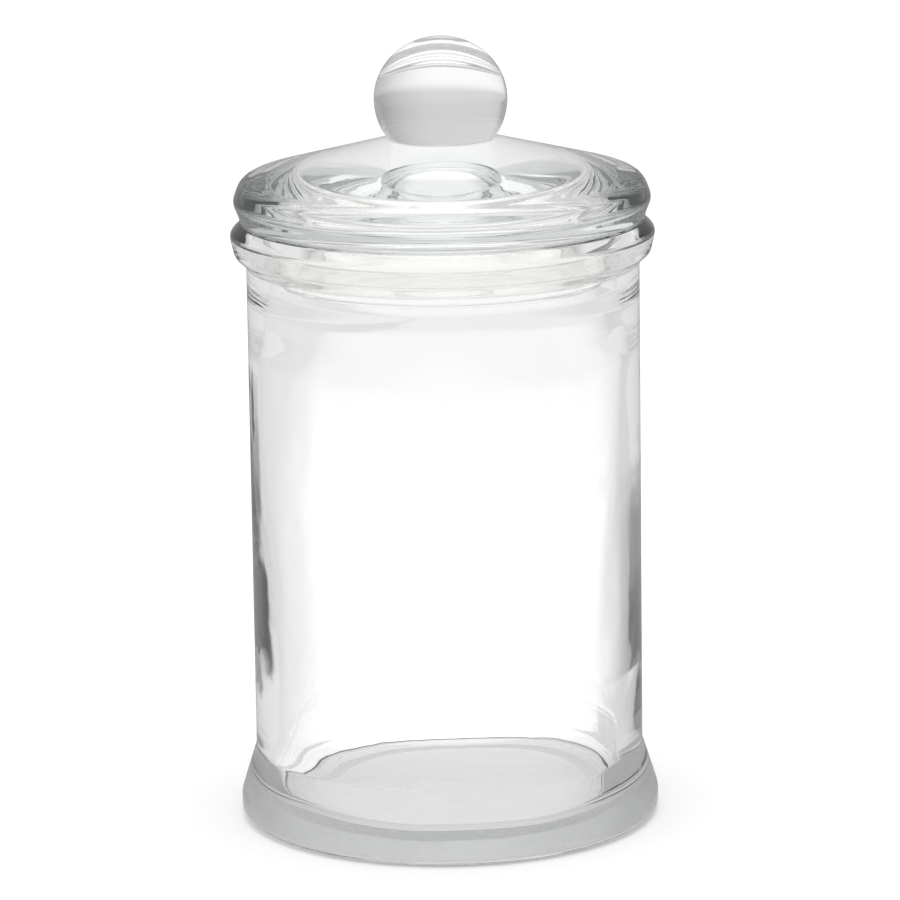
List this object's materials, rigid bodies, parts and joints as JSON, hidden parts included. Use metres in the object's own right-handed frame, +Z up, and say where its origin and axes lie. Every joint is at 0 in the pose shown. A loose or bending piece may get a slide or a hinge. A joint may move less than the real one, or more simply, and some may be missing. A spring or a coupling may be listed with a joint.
{
  "type": "specimen jar",
  "caption": "Heavy clear glass cylinder jar on a flared foot, with a domed lift-off lid, a ball knob and a ribbed sealing ring round the lid's plug.",
  "frame": {"origin": "centre of the foot, on the plane the jar stands on", "axes": "+Z up along the axis of revolution, towards the knob; +X and +Y are equivalent, because every piece is turned about Z"},
  "size_m": [0.1012, 0.1012, 0.1893],
  "materials": {
    "jar_body": "clear, fire polished",
    "lid": "clear, fire polished",
    "seal_ring": "clear, flexible, satin"
  },
  "bodies": {
    "jar": {"jar_body": "jar_body"},
    "seal": {"seal_ring": "seal_ring"},
    "lid": {"lid": "lid"}
  },
  "joints": [
    {"name": "lid_lift", "type": "slide", "parent": "jar", "child": "seal", "axis": [0, 0, 1], "range_m": [0, 0.04]},
    {"name": "lid_turn", "type": "hinge", "parent": "seal", "child": "lid", "pos_m": [0, 0, 0.146], "axis": [0, 0, 1], "continuous": true}
  ]
}
